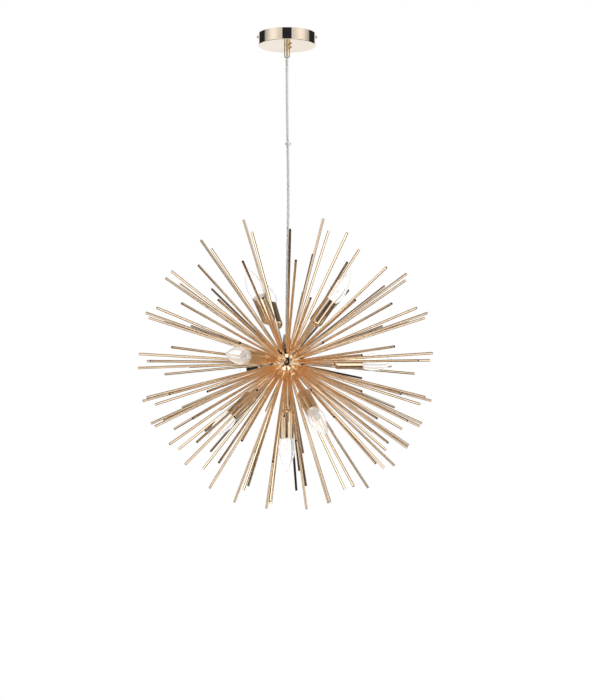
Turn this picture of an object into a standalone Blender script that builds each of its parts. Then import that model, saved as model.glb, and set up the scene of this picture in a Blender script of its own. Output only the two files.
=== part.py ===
"""Starburst pendant chandelier: a ball hub full of radial rods and candle lamps,
hung on a clear flex and a steel wire from a shallow round ceiling canopy.

Frame: metres, +Z up. The origin is the centre of the ceiling bracket's top face,
so the ceiling is the plane Z = 0 and the whole light hangs below it. -Y is the front.
"""

import math

import bmesh
import bpy
from mathutils import Matrix, Vector

# ---------------------------------------------------------------- dimensions
GAP = 0.0003                     # clearance between neighbouring pieces

CANOPY_R = 0.060                 # canopy outer radius
CANOPY_H = 0.025                 # canopy depth below the ceiling
CANOPY_WALL = 0.0014
SIDE_SCREW_Z = -0.0062           # height of the two canopy side screws
SIDE_SCREW_R = 0.0015            # M3 shank
SIDE_HEAD_R = 0.0033

BRACKET_HALF = 0.0545            # half length over the two ears
BRACKET_W = 0.022
BRACKET_T = 0.0016
EAR_H = 0.0125

GRIP_R = 0.0060                  # cord grip barrel below the canopy
GRIP_TOP = -CANOPY_H - GAP
GRIP_BOTTOM = -0.0495
NIPPLE_R = 0.0040                # threaded nipple of the grip, through the canopy
NIPPLE_TOP = -0.0165
CORD_R = 0.0021                  # clear two core flex, 4.2 mm
WIRE_R = 0.0006                  # steel support wire, 1.2 mm
WIRE_OFF = 0.0034                # wire beside the flex, towards +X
PIVOT_Z = -0.0455                # the cord swings about this point, inside the grip's bore
CORD_TOP = -0.0438               # top end of the flex and the wire, inside the bore
RING_H = 0.0026                  # swivel ring round the flex, on the pivot
RING_R = 0.0044
RING_BORE_R = 0.0035

HUB_Z = -0.686                   # centre of the ball hub
HUB_R = 0.037
HUB_INNER_R = 0.022
GLAND_R = 0.0085
GLAND_H = 0.020
GLAND_BORE_R = 0.0062

ROD_TIP_R = 0.306                # rod tips lie on one sphere
ROD_R = 0.0029                   # corner radius of the rod solids
ROD_SIDES = 6

# rings of rods: latitude, places round the ring, azimuth of the first place, zigzag
RINGS = {
    "rod_ring_crown": [(68.0, 4, 40.0, 0.0), (54.0, 9, -8.0, 0.0)],
    "rod_ring_upper": [(35.0, 15, 10.0, 0.0)],
    "rod_ring_shoulder": [(18.5, 20, 9.0, 0.0)],
    "rod_ring_equator": [(0.0, 24, -2.0, 2.0)],
    "rod_ring_waist": [(-15.0, 18, -1.0, 0.0)],
    "rod_ring_lower_a": [(-24.8, 18, 9.0, 0.0)],
    "rod_ring_lower_b": [(-34.4, 15, 10.0, 0.0)],
    "rod_ring_lower_c": [(-44.0, 12, -7.0, 0.0)],
    "rod_ring_bottom": [(-57.0, 9, 3.0, 0.0), (-69.5, 5, 36.0, 0.0), (-78.0, 2, 50.0, 0.0)],
}
# hub latitudes where one band of the ball ends and the next begins
BANDS = {
    "rod_ring_crown": (44.5, 79.0),
    "rod_ring_upper": (27.0, 44.5),
    "rod_ring_shoulder": (9.5, 27.0),
    "rod_ring_equator": (-7.5, 9.5),
    "rod_ring_waist": (-19.9, -7.5),
    "rod_ring_lower_a": (-29.6, -19.9),
    "rod_ring_lower_b": (-39.2, -29.6),
    "rod_ring_lower_c": (-50.4, -39.2),
    "rod_ring_bottom": (-90.0, -50.4),
}
BAND_STEPS = 24

# lamps: three high, three level, three low, one straight down
LAMP_ROWS = [("upper", 54.0, -8.0, 3), ("middle", 0.0, -2.0, 3), ("lower", -44.0, -62.0, 3), ("bottom", -90.0, 0.0, 1)]
LAMP_CLEAR_DEG = 11.0            # no rod stands nearer than this to a lamp's axis
ARM_R = 0.0040
ARM_START = HUB_R + GAP
CUP_START = 0.096
CUP_R = 0.0145
CUP_LEN = 0.060
CUP_WALL = 0.0012
HOLDER_DEPTH = 0.010             # lampholder top below the cup's mouth
HOLDER_BORE_R = 0.0077
CAP_R = 0.0069                   # E14 cap of the bulb
CAP_LEN = 0.0185
BULB_R = 0.0175                  # candle bulb, 35 mm
BULB_TIP_R = 0.2255              # bulb tip from the hub's centre

HUB = Vector((0.0, 0.0, HUB_Z))


# ---------------------------------------------------------------- helpers
def clear_scene():
    for obj in list(bpy.data.objects):
        bpy.data.objects.remove(obj, do_unlink=True)
    for col in list(bpy.data.collections):
        bpy.data.collections.remove(col)


clear_scene()
PARTS = bpy.data.collections.new("starburst_pendant")
CUTTERS = bpy.data.collections.new("cutters")
bpy.context.scene.collection.children.link(PARTS)
bpy.context.scene.collection.children.link(CUTTERS)
CUTTERS.hide_render = True


def material(name, color, rough, metal, transmission=0.0):
    mat = bpy.data.materials.new(name)
    mat.use_nodes = True
    bsdf = mat.node_tree.nodes["Principled BSDF"]
    bsdf.inputs["Base Color"].default_value = (*color, 1.0)
    bsdf.inputs["Roughness"].default_value = rough
    bsdf.inputs["Metallic"].default_value = metal
    bsdf.inputs["Transmission Weight"].default_value = transmission
    mat.diffuse_color = (*color, 1.0)
    return mat


GOLD = (0.90, 0.68, 0.44)
COLORS = {
    "gold": (GOLD, 0.12, 1.0, 0.0),
    "rod_gold": ((0.88, 0.60, 0.36), 0.16, 1.0, 0.0),
    "screw_gold": ((0.80, 0.55, 0.33), 0.25, 1.0, 0.0),
    "steel": ((0.62, 0.62, 0.63), 0.35, 1.0, 0.0),
    "plastic": ((0.90, 0.89, 0.85), 0.45, 0.0, 0.0),
    "clear_pvc": ((0.86, 0.86, 0.84), 0.25, 0.0, 0.5),
    "glass": ((0.97, 0.97, 0.95), 0.03, 0.0, 0.9),
}


def finish(obj, finish_name, smooth_angle=35.0):
    color, rough, metal, transmission = COLORS[finish_name]
    obj.data.materials.append(material(obj.name + "_" + finish_name, color, rough, metal, transmission))
    if obj.type == "MESH":
        obj.data.shade_smooth()
        obj.data.set_sharp_from_angle(angle=math.radians(smooth_angle))
    return obj


def add_mesh(name, bm, collection=PARTS, matrix=None):
    mesh = bpy.data.meshes.new(name)
    bm.to_mesh(mesh)
    bm.free()
    obj = bpy.data.objects.new(name, mesh)
    collection.objects.link(obj)
    if matrix is not None:
        obj.matrix_world = matrix
    return obj


def cutter(obj):
    obj.hide_render = True
    obj.display_type = "WIRE"
    return obj


def boolean(obj, other, operation="DIFFERENCE"):
    mod = obj.modifiers.new(operation.lower() + "_" + other.name, "BOOLEAN")
    mod.operation = operation
    mod.solver = "EXACT"
    mod.object = other
    return obj


def turned(name, profile, steps, finish_name, collection=PARTS, matrix=None):
    """A solid of revolution about the object's Z axis. profile: (radius, z) pairs that run
    down the outer side and back up the inner one; a point with radius 0 lies on the axis."""
    mesh = bpy.data.meshes.new(name)
    points = [(r, 0.0, z) for r, z in profile]
    closed = profile[0][0] > 0.0 and profile[-1][0] > 0.0
    edges = [(i, i + 1) for i in range(len(points) - 1)]
    if closed:
        edges.append((len(points) - 1, 0))
    mesh.from_pydata(points, edges, [])
    obj = bpy.data.objects.new(name, mesh)
    collection.objects.link(obj)
    screw = obj.modifiers.new("turn", "SCREW")
    screw.axis = "Z"
    screw.steps = steps
    screw.render_steps = steps
    screw.use_merge_vertices = True
    screw.merge_threshold = 0.00001
    screw.use_smooth_shade = True
    if matrix is not None:
        obj.matrix_world = matrix
    if finish_name:
        color, rough, metal, transmission = COLORS[finish_name]
        mesh.materials.append(material(name + "_" + finish_name, color, rough, metal, transmission))
    return obj


def rod_mesh(bm, start, end, radius, sides, side_axis):
    """One closed prism from start to end, a corner of its section along side_axis."""
    along = (end - start).normalized()
    x = (side_axis - along * side_axis.dot(along)).normalized()
    y = along.cross(x)
    frame = Matrix((x, y, along)).transposed().to_4x4()
    frame.translation = (start + end) / 2
    bmesh.ops.create_cone(
        bm, cap_ends=True, cap_tris=False, segments=sides, radius1=radius, radius2=radius,
        depth=(end - start).length, matrix=frame,
    )


def cylinder(name, start, end, radius, sides, collection=PARTS):
    bm = bmesh.new()
    start, end = Vector(start), Vector(end)
    side = Vector((0, 0, 1)) if abs((end - start).normalized().z) < 0.9 else Vector((1, 0, 0))
    rod_mesh(bm, start, end, radius, sides, side)
    return add_mesh(name, bm, collection)


def box(name, low, high, collection=PARTS):
    bm = bmesh.new()
    low, high = Vector(low), Vector(high)
    size = high - low
    bmesh.ops.create_cube(bm, size=1.0, matrix=Matrix.Translation((low + high) / 2) @ Matrix.Diagonal((*size, 1.0)))
    return add_mesh(name, bm, collection)


def direction(lat, az):
    la, lo = math.radians(lat), math.radians(az)
    return Vector((math.cos(la) * math.cos(lo), math.cos(la) * math.sin(lo), math.sin(la)))


def radial_frame(dirn):
    """Origin at the hub's centre, local Z along dirn."""
    rot = Vector((0, 0, 1)).rotation_difference(dirn).to_matrix().to_4x4()
    if dirn.z < -0.9999:
        rot = Matrix.Rotation(math.pi, 4, "X")
    return Matrix.Translation(HUB) @ rot


def arc(radius, a0, a1, n):
    """(radius, z) points on a circle about the origin, from latitude a0 to a1 in degrees."""
    out = []
    for i in range(n + 1):
        a = math.radians(a0 + (a1 - a0) * i / n)
        out.append((radius * math.cos(a), radius * math.sin(a)))
    return out


def poly_tube(name, points, radius, finish_name, resolution=2):
    curve = bpy.data.curves.new(name, "CURVE")
    curve.dimensions = "3D"
    curve.bevel_depth = radius
    curve.bevel_resolution = resolution
    curve.use_fill_caps = True
    spline = curve.splines.new("POLY")
    spline.points.add(len(points) - 1)
    for point, co in zip(spline.points, points):
        point.co = (*co, 1.0)
    spline.use_smooth = True
    obj = bpy.data.objects.new(name, curve)
    PARTS.objects.link(obj)
    color, rough, metal, transmission = COLORS[finish_name]
    curve.materials.append(material(name + "_" + finish_name, color, rough, metal, transmission))
    return obj


def smooth_route(knots, count):
    """Evenly spaced points on a Catmull-Rom curve through the knots."""
    knots = [Vector(k) for k in knots]
    ext = [knots[0] * 2 - knots[1]] + knots + [knots[-1] * 2 - knots[-2]]
    fine = []
    for i in range(1, len(ext) - 2):
        p0, p1, p2, p3 = ext[i - 1], ext[i], ext[i + 1], ext[i + 2]
        for s in range(24):
            t = s / 24
            fine.append(0.5 * ((2 * p1) + (p2 - p0) * t + (2 * p0 - 5 * p1 + 4 * p2 - p3) * t * t + (3 * p1 - p0 - 3 * p2 + p3) * t ** 3))
    fine.append(knots[-1])
    run = [0.0]
    for a, b in zip(fine, fine[1:]):
        run.append(run[-1] + (b - a).length)
    out, j = [], 0
    for i in range(count):
        want = run[-1] * i / (count - 1)
        while j < len(run) - 2 and run[j + 1] < want:
            j += 1
        t = (want - run[j]) / max(run[j + 1] - run[j], 1e-12)
        out.append(fine[j].lerp(fine[j + 1], min(max(t, 0.0), 1.0)))
    return out


# ---------------------------------------------------------------- ceiling side
def ceiling_bracket():
    """A steel strip against the ceiling with both ends bent down as ears."""
    half, t, w = BRACKET_HALF, BRACKET_T, BRACKET_W
    outline = [(-half, -EAR_H), (-half, 0.0), (half, 0.0), (half, -EAR_H), (half - t, -EAR_H), (half - t, -t), (-half + t, -t), (-half + t, -EAR_H)]
    curve = bpy.data.curves.new("bracket_outline", "CURVE")
    curve.dimensions = "2D"
    curve.fill_mode = "BOTH"
    curve.extrude = w / 2
    spline = curve.splines.new("POLY")
    spline.points.add(len(outline) - 1)
    for point, (x, z) in zip(spline.points, outline):
        point.co = (x, z, 0.0, 1.0)
    spline.use_cyclic_u = True
    flat = bpy.data.objects.new("bracket_outline", curve)
    CUTTERS.objects.link(flat)
    flat.rotation_euler = (math.pi / 2, 0.0, 0.0)
    bpy.context.view_layer.update()
    graph = bpy.context.evaluated_depsgraph_get()
    mesh = bpy.data.meshes.new_from_object(flat.evaluated_get(graph))
    bm = bmesh.new()
    bm.from_mesh(mesh)
    bmesh.ops.remove_doubles(bm, verts=bm.verts, dist=1e-6)
    bmesh.ops.recalc_face_normals(bm, faces=bm.faces)
    bm.to_mesh(mesh)
    bm.free()
    mesh.name = "ceiling_bracket"
    obj = bpy.data.objects.new("ceiling_bracket", mesh)
    obj.matrix_world = flat.matrix_world.copy()
    PARTS.objects.link(obj)
    bpy.data.objects.remove(flat, do_unlink=True)
    # two slots for the ceiling screws, one hole for the earth screw
    for side in (-1, 1):
        slot = cutter(box("bracket_slot_%d" % (side + 1), (side * 0.040 - 0.006, -0.0022, -0.004), (side * 0.040 + 0.006, 0.0022, 0.002), CUTTERS))
        boolean(obj, slot)
    earth = cutter(cylinder("earth_hole", (0.020, 0.0, -0.004), (0.020, 0.0, 0.002), 0.0022, 12, CUTTERS))
    boolean(obj, earth)
    return finish(obj, "steel")


def terminal_block():
    """Three way insulated connector block under the bracket."""
    z1 = -BRACKET_T - GAP
    obj = box("terminal_block", (-0.0320, -0.0085, z1 - 0.0105), (-0.0120, 0.0085, z1))
    for i in (-1, 0, 1):
        hole = cutter(cylinder("terminal_hole_%d" % (i + 1), (-0.0330, i * 0.0055, z1 - 0.0052), (-0.0110, i * 0.0055, z1 - 0.0052), 0.0014, 10, CUTTERS))
        boolean(obj, hole)
    return finish(obj, "plastic")


def screw_solid(name, origin, axis, head_r, head_t, shank_r, shank_l, finish_name, steps=16, dome=0.35):
    """A screw whose head points along axis; the origin is under the head."""
    rot = Vector((0, 0, 1)).rotation_difference(Vector(axis)).to_matrix().to_4x4()
    frame = Matrix.Translation(origin) @ rot
    profile = [
        (0.0, head_t), (head_r * 0.6, head_t * (1 - dome * 0.25)), (head_r * 0.9, head_t * (1 - dome)), (head_r, head_t * 0.35), (head_r, 0.0),
        (shank_r, 0.0), (shank_r, -shank_l + shank_r * 0.5), (shank_r * 0.55, -shank_l), (0.0, -shank_l),
    ]
    return turned(name, profile, steps, finish_name, matrix=frame)


# ---------------------------------------------------------------- canopy
def canopy_cup():
    r, h, w = CANOPY_R, CANOPY_H, CANOPY_WALL
    b = 0.0012
    hole = NIPPLE_R + GAP
    profile = [
        (r, -0.0003), (r, -h + b), (r - b * 0.3, -h + b * 0.3), (r - b, -h), (hole, -h), (hole, -h + w),
        (r - w - b, -h + w), (r - w, -h + w + b), (r - w, -0.0003),
    ]
    obj = turned("canopy_cup", profile, 32, "gold")
    for side in (-1, 1):
        hole_cut = cutter(cylinder("canopy_side_hole_%d" % (side + 1), (side * (r - 0.006), 0.0, SIDE_SCREW_Z), (side * (r + 0.004), 0.0, SIDE_SCREW_Z), SIDE_SCREW_R + GAP, 12, CUTTERS))
        boolean(obj, hole_cut)
    return obj


def cord_grip():
    """Barrel below the canopy with a hollow threaded nipple that goes up through it."""
    bore = CORD_R + WIRE_OFF - 0.0006
    profile = [
        (NIPPLE_R, NIPPLE_TOP), (NIPPLE_R, GRIP_TOP), (GRIP_R, GRIP_TOP), (GRIP_R, GRIP_BOTTOM + 0.0022), (GRIP_R - 0.0008, GRIP_BOTTOM),
        (bore, GRIP_BOTTOM), (bore, GRIP_TOP - 0.003), (0.0026, GRIP_TOP - 0.003), (0.0026, NIPPLE_TOP),
    ]
    obj = turned("cord_grip_barrel", profile, 20, "gold")
    az = math.radians(THUMB_AZ)
    out = Vector((math.cos(az), math.sin(az), 0.0))
    start = Vector((0, 0, THUMB_Z)) + out * 0.0030
    hole = cutter(cylinder("thumb_screw_hole", start, start + out * 0.006, 0.0013 + GAP, 10, CUTTERS))
    boolean(obj, hole)
    return obj


THUMB_AZ = -42.0
THUMB_Z = -0.0292


def grip_locknut():
    z0 = -CANOPY_H + CANOPY_WALL + GAP
    obj = cylinder("grip_locknut", (0, 0, z0), (0, 0, z0 + 0.0035), 0.0078, 6)
    hole = cutter(cylinder("locknut_bore", (0, 0, z0 - 0.002), (0, 0, z0 + 0.006), NIPPLE_R + GAP, 20, CUTTERS))
    boolean(obj, hole)
    return finish(obj, "steel", 20.0)


# ---------------------------------------------------------------- hub and rods
LAMPS = []
for row, lat, first, count in LAMP_ROWS:
    for i in range(count):
        LAMPS.append(("%s_%d" % (row, i + 1) if count > 1 else row, direction(lat, first + 360.0 * i / count)))


def rod_directions(rings):
    out = []
    for lat, places, first, zigzag in rings:
        for i in range(places):
            d = direction(lat + (zigzag if i % 2 else -zigzag), first + 360.0 * i / places)
            if all(math.degrees(d.angle(lamp)) >= LAMP_CLEAR_DEG for _, lamp in LAMPS):
                out.append(d)
    return out


def rod_ring(name):
    """One band of the ball hub with the rods that are screwed into it."""
    low, high = BANDS[name]
    inset = math.degrees(GAP / 2 / HUB_R)
    lo = low + inset if low > -90 else low
    hi = high - inset
    n = max(2, round((hi - lo) / 9))
    outer = arc(HUB_R, hi, lo, n)
    # the top band's cord hole is a straight bore
    inner_hi = math.degrees(math.acos(HUB_R * math.cos(math.radians(hi)) / HUB_INNER_R)) if high > 75 else hi
    inner = arc(HUB_INNER_R, lo, inner_hi, max(2, n - 1))
    if low <= -90:
        outer[-1] = (0.0, -HUB_R)
        inner[0] = (0.0, -HUB_INNER_R)
        obj = turned_open(name, outer, inner)
    else:
        obj = turned(name, outer + inner, BAND_STEPS, "rod_gold", matrix=Matrix.Translation(HUB))
    bm = bmesh.new()
    for d in rod_directions(RINGS[name]):
        east = Vector((-d.y, d.x, 0.0)).normalized()
        rod_mesh(bm, HUB + d * (HUB_R - 0.0011), HUB + d * ROD_TIP_R, ROD_R, ROD_SIDES, east)
    rods = cutter(add_mesh(name + "_rods", bm, CUTTERS))
    return boolean(obj, rods, "UNION")


def turned_open(name, outer, inner):
    """The bottom bowl: outer skin down to the pole, inner skin from its own pole back up."""
    mesh = bpy.data.meshes.new(name)
    loop = outer + inner
    points = [(r, 0.0, z) for r, z in loop]
    edges = [(i, i + 1) for i in range(len(outer) - 1)]
    edges += [(len(outer) + i, len(outer) + i + 1) for i in range(len(inner) - 1)]
    edges.append((len(loop) - 1, 0))
    mesh.from_pydata(points, edges, [])
    obj = bpy.data.objects.new(name, mesh)
    PARTS.objects.link(obj)
    screw = obj.modifiers.new("turn", "SCREW")
    screw.axis = "Z"
    screw.steps = BAND_STEPS
    screw.render_steps = BAND_STEPS
    screw.use_merge_vertices = True
    screw.merge_threshold = 0.00001
    screw.use_smooth_shade = True
    obj.matrix_world = Matrix.Translation(HUB)
    color, rough, metal, transmission = COLORS["rod_gold"]
    mesh.materials.append(material(name + "_rod_gold", color, rough, metal, transmission))
    return obj


def hub_gland():
    """Screwed cord entry on top of the ball, with a nipple down into it."""
    top = HUB_R + GLAND_H
    seat = HUB_R + GAP + 0.0002
    nip = HUB_R * math.cos(math.radians(79.0)) - GAP - 0.0008
    profile = [
        (GLAND_R - 0.0025, top), (GLAND_R, top - 0.003), (GLAND_R, seat), (nip, seat), (nip, HUB_INNER_R + 0.002),
        (0.0035, HUB_INNER_R + 0.002), (0.0035, seat + 0.004), (GLAND_R - 0.0036, seat + 0.004), (GLAND_R - 0.0036, top),
    ]
    return turned("hub_gland", profile, 20, "gold", matrix=Matrix.Translation(HUB))


def hub_junction():
    """Closed-end connector inside the ball that joins the lamps' leads to the flex."""
    profile = [(0.0, 0.012), (0.0050, 0.012), (0.0075, 0.004), (0.0080, -0.010), (0.0, -0.010)]
    return turned("hub_lead_connector", profile, 14, "plastic", matrix=Matrix.Translation(HUB))


# ---------------------------------------------------------------- lamps
def lamp_arm(tag, d):
    obj = turned(
        "lamp_arm_" + tag,
        [(0.0, CUP_START - GAP), (ARM_R, CUP_START - GAP), (ARM_R, ARM_START), (0.0, ARM_START)],
        12, "gold", matrix=radial_frame(d),
    )
    return obj


def socket_cup(tag, d):
    """Cup with a rounded base; its lampholder is the stepped bore."""
    mouth = CUP_START + CUP_LEN
    holder = mouth - HOLDER_DEPTH
    floor = holder - CAP_LEN - 0.002
    r = CUP_R
    profile = [
        (r - 0.0004, mouth), (r, mouth - 0.0006), (r, CUP_START + 0.008), (r * 0.90, CUP_START + 0.0035), (r * 0.62, CUP_START + 0.0008), (0.0, CUP_START),
    ]
    inner = [(0.0, floor), (HOLDER_BORE_R, floor), (HOLDER_BORE_R, holder), (r - CUP_WALL, holder), (r - CUP_WALL, mouth)]
    return turned_cup("socket_cup_" + tag, profile, inner, 12, "gold", radial_frame(d))


def turned_cup(name, outer, inner, steps, finish_name, matrix):
    mesh = bpy.data.meshes.new(name)
    loop = outer + inner
    points = [(r, 0.0, z) for r, z in loop]
    edges = [(i, i + 1) for i in range(len(outer) - 1)]
    edges += [(len(outer) + i, len(outer) + i + 1) for i in range(len(inner) - 1)]
    edges.append((len(loop) - 1, 0))
    mesh.from_pydata(points, edges, [])
    obj = bpy.data.objects.new(name, mesh)
    PARTS.objects.link(obj)
    screw = obj.modifiers.new("turn", "SCREW")
    screw.axis = "Z"
    screw.steps = steps
    screw.render_steps = steps
    screw.use_merge_vertices = True
    screw.merge_threshold = 0.00001
    screw.use_smooth_shade = True
    obj.matrix_world = matrix
    color, rough, metal, transmission = COLORS[finish_name]
    mesh.materials.append(material(name + "_" + finish_name, color, rough, metal, transmission))
    return obj


def candle_bulb(tag, d):
    """Screw cap and candle shaped glass as one piece."""
    mouth = CUP_START + CUP_LEN
    holder = mouth - HOLDER_DEPTH
    base = holder - CAP_LEN
    # glass outline as fractions of its length and of its widest radius
    length = BULB_TIP_R - holder
    shape = [(1.0, 0.0), (0.95, 0.15), (0.80, 0.48), (0.62, 0.80), (0.44, 0.98), (0.34, 1.0), (0.20, 0.86), (0.01, 0.42)]
    profile = [(BULB_R * w, holder + length * t) for t, w in shape]
    profile += [(CAP_R, holder), (CAP_R, base + 0.003), (CAP_R * 0.5, base), (0.0, base)]
    return turned("candle_bulb_" + tag, profile, 12, "glass", matrix=radial_frame(d))


# ---------------------------------------------------------------- assembly
ceiling_bracket()
terminal_block()
screw_solid("earth_screw", (0.020, 0.0, -BRACKET_T - GAP), (0, 0, -1), 0.0036, 0.0022, 0.0018, 0.0014, "steel", 14)
canopy_cup()
grip_locknut()
cord_grip()

for side, name in ((-1, "canopy_side_screw_left"), (1, "canopy_side_screw_right")):
    reach = CANOPY_R + GAP + 0.0003 - BRACKET_HALF - GAP
    screw_solid(name, (side * (CANOPY_R + GAP + 0.0003), 0.0, SIDE_SCREW_Z), (side, 0, 0), SIDE_HEAD_R, 0.0022, SIDE_SCREW_R, reach, "screw_gold")

thumb_out = Vector((math.cos(math.radians(THUMB_AZ)), math.sin(math.radians(THUMB_AZ)), 0.0))
screw_solid("grip_thumb_screw", Vector((0, 0, THUMB_Z)) + thumb_out * (GRIP_R + 0.0006), thumb_out, 0.0026, 0.0048, 0.0013, 0.0016, "screw_gold", 14)

# the flex's cores go from the nipple to the terminal block
tail = smooth_route([(0, 0, NIPPLE_TOP + GAP + 0.0002), (-0.0002, 0, -0.0140), (-0.0030, 0, -0.0095), (-0.0075, 0, -0.0074), (-0.0120 + GAP, 0, -0.0071)], 14)
poly_tube("supply_cores", tail, 0.0012, "plastic", 2)

# ring round the flex inside the grip, then the flex and the wire down to the gland
turned(
    "strain_relief_ring",
    [(RING_R - 0.0004, RING_H / 2), (RING_R, RING_H / 2 - 0.0005), (RING_R, -RING_H / 2 + 0.0005), (RING_R - 0.0004, -RING_H / 2), (RING_BORE_R, -RING_H / 2), (RING_BORE_R, RING_H / 2)],
    24, "clear_pvc", matrix=Matrix.Translation((0.0, 0.0, PIVOT_Z)),
)
CORD_END = HUB_Z + HUB_R + GLAND_H - 0.010
SPAN = CORD_TOP - CORD_END


def cord_route(offset, bow, count):
    """Nearly straight, with a slight bow that dies out at both ends."""
    knots = []
    for i in range(13):
        t = i / 12
        knots.append((offset + bow * math.sin(math.pi * t) ** 2 * (1 - 0.35 * math.cos(2 * math.pi * t)), 0.0, CORD_TOP - SPAN * t))
    return smooth_route(knots, count)


poly_tube("supply_flex", cord_route(-0.0008, 0.0022, 40), CORD_R, "clear_pvc", 2)
poly_tube("support_wire", cord_route(WIRE_OFF - 0.0010, 0.0022, 18), WIRE_R, "steel", 2)

TIE_Z = -0.232
tie_t = (CORD_TOP - TIE_Z) / SPAN
tie_x = -0.0008 + 0.0022 * math.sin(math.pi * tie_t) ** 2 * (1 - 0.35 * math.cos(2 * math.pi * tie_t))
tie = turned(
    "cord_tie",
    [(0.0056, 0.0022), (0.0061, 0.0014), (0.0061, -0.0014), (0.0056, -0.0022), (0.0046, -0.0022), (0.0046, 0.0022)],
    16, "clear_pvc", matrix=Matrix.Translation((tie_x + 0.0012, 0.0, TIE_Z)),
)

for ring in RINGS:
    rod_ring(ring)
hub_gland()
hub_junction()
for tag, d in LAMPS:
    lamp_arm(tag, d)
    socket_cup(tag, d)
    candle_bulb(tag, d)
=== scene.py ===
"""Looks of the starburst pendant chandelier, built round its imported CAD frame.

Metres, in the row frame: the ceiling is Z = 0, the light hangs below it, -Y is the front.
"""
import math

import bmesh
import bpy
from mathutils import Matrix, Vector, noise


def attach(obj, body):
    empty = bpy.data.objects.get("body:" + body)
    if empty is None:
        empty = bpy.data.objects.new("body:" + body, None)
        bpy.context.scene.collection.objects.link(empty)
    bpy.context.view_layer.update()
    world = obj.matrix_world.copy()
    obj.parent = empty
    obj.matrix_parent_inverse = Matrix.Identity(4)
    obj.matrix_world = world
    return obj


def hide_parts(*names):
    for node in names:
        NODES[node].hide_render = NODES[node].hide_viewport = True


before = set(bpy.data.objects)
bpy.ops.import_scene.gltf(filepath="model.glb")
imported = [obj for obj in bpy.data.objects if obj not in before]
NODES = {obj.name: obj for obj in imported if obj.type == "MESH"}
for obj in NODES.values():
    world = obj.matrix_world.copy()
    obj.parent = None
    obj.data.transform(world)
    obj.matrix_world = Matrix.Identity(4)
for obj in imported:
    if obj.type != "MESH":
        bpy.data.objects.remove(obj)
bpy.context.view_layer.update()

# ---------------------------------------------------------------- dimensions, as in the CAD
GAP = 0.0003
CANOPY_R, CANOPY_H, CANOPY_WALL = 0.060, 0.025, 0.0014
SIDE_SCREW_Z = -0.0062
GRIP_R, GRIP_TOP, GRIP_BOTTOM = 0.0060, -0.0253, -0.0495
NIPPLE_R, NIPPLE_TOP = 0.0040, -0.0165
THUMB_AZ, THUMB_Z = -42.0, -0.0292
CORD_R, WIRE_R, WIRE_OFF = 0.0021, 0.0006, 0.0034
PIVOT_Z = -0.0455
RING_H, RING_R, RING_BORE_R = 0.0026, 0.0044, 0.0035
HUB_Z, HUB_R = -0.686, 0.037
GLAND_R, GLAND_H = 0.0085, 0.020
ROD_TIP_R, ROD_R, ROD_BORE_R = 0.306, 0.0026, 0.0022
RINGS = {
    "rod_ring_crown": [(68.0, 4, 40.0, 0.0), (54.0, 9, -8.0, 0.0)],
    "rod_ring_upper": [(35.0, 15, 10.0, 0.0)],
    "rod_ring_shoulder": [(18.5, 20, 9.0, 0.0)],
    "rod_ring_equator": [(0.0, 24, -2.0, 2.0)],
    "rod_ring_waist": [(-15.0, 18, -1.0, 0.0)],
    "rod_ring_lower_a": [(-24.8, 18, 9.0, 0.0)],
    "rod_ring_lower_b": [(-34.4, 15, 10.0, 0.0)],
    "rod_ring_lower_c": [(-44.0, 12, -7.0, 0.0)],
    "rod_ring_bottom": [(-57.0, 9, 3.0, 0.0), (-69.5, 5, 36.0, 0.0), (-78.0, 2, 50.0, 0.0)],
}
LAMP_ROWS = [("upper", 54.0, -8.0, 3), ("middle", 0.0, -2.0, 3), ("lower", -44.0, -62.0, 3), ("bottom", -90.0, 0.0, 1)]
LAMP_CLEAR_DEG = 11.0
ARM_R = 0.0040
CUP_START, CUP_R, CUP_LEN, CUP_WALL = 0.096, 0.0145, 0.060, 0.0012
HOLDER_DEPTH, HOLDER_BORE_R = 0.010, 0.0077
CAP_R, CAP_LEN = 0.0069, 0.0185
BULB_R, BULB_TIP_R = 0.0175, 0.2255
CORD_TOP = -0.0438
CORD_END = HUB_Z + HUB_R + GLAND_H - 0.010
SPAN = CORD_TOP - CORD_END
TIE_Z = -0.232
HUB = Vector((0.0, 0.0, HUB_Z))

# ---------------------------------------------------------------- camera
VIEW_UP = math.radians(5.2)      # the camera looks up at the hub by this much
VIEW_DIST = 4.2
LENS = 105.4
toward_hub = Vector((0.0, math.cos(VIEW_UP), math.sin(VIEW_UP)))
picture_up = Vector((0.0, -math.sin(VIEW_UP), math.cos(VIEW_UP)))
cam_data = bpy.data.cameras.new("camera")
cam_data.lens = LENS
cam_data.sensor_width = 36.0
cam_data.clip_end = 50.0
camera = bpy.data.objects.new("camera", cam_data)
bpy.context.scene.collection.objects.link(camera)
camera.location = HUB - toward_hub * VIEW_DIST
aim = HUB + Vector((1, 0, 0)) * 0.0219 + picture_up * 0.0254
camera.rotation_euler = (aim - camera.location).to_track_quat("-Z", "Y").to_euler()
bpy.context.scene.camera = camera


# ---------------------------------------------------------------- mesh helpers
def direction(lat, az):
    la, lo = math.radians(lat), math.radians(az)
    return Vector((math.cos(la) * math.cos(lo), math.cos(la) * math.sin(lo), math.sin(la)))


def radial_frame(dirn, origin=HUB):
    """Local Z along dirn."""
    rot = Vector((0, 0, 1)).rotation_difference(dirn).to_matrix().to_4x4()
    if dirn.z < -0.9999:
        rot = Matrix.Rotation(math.pi, 4, "X")
    return Matrix.Translation(origin) @ rot


def at(x, y, z):
    return Matrix.Translation((x, y, z))


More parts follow.
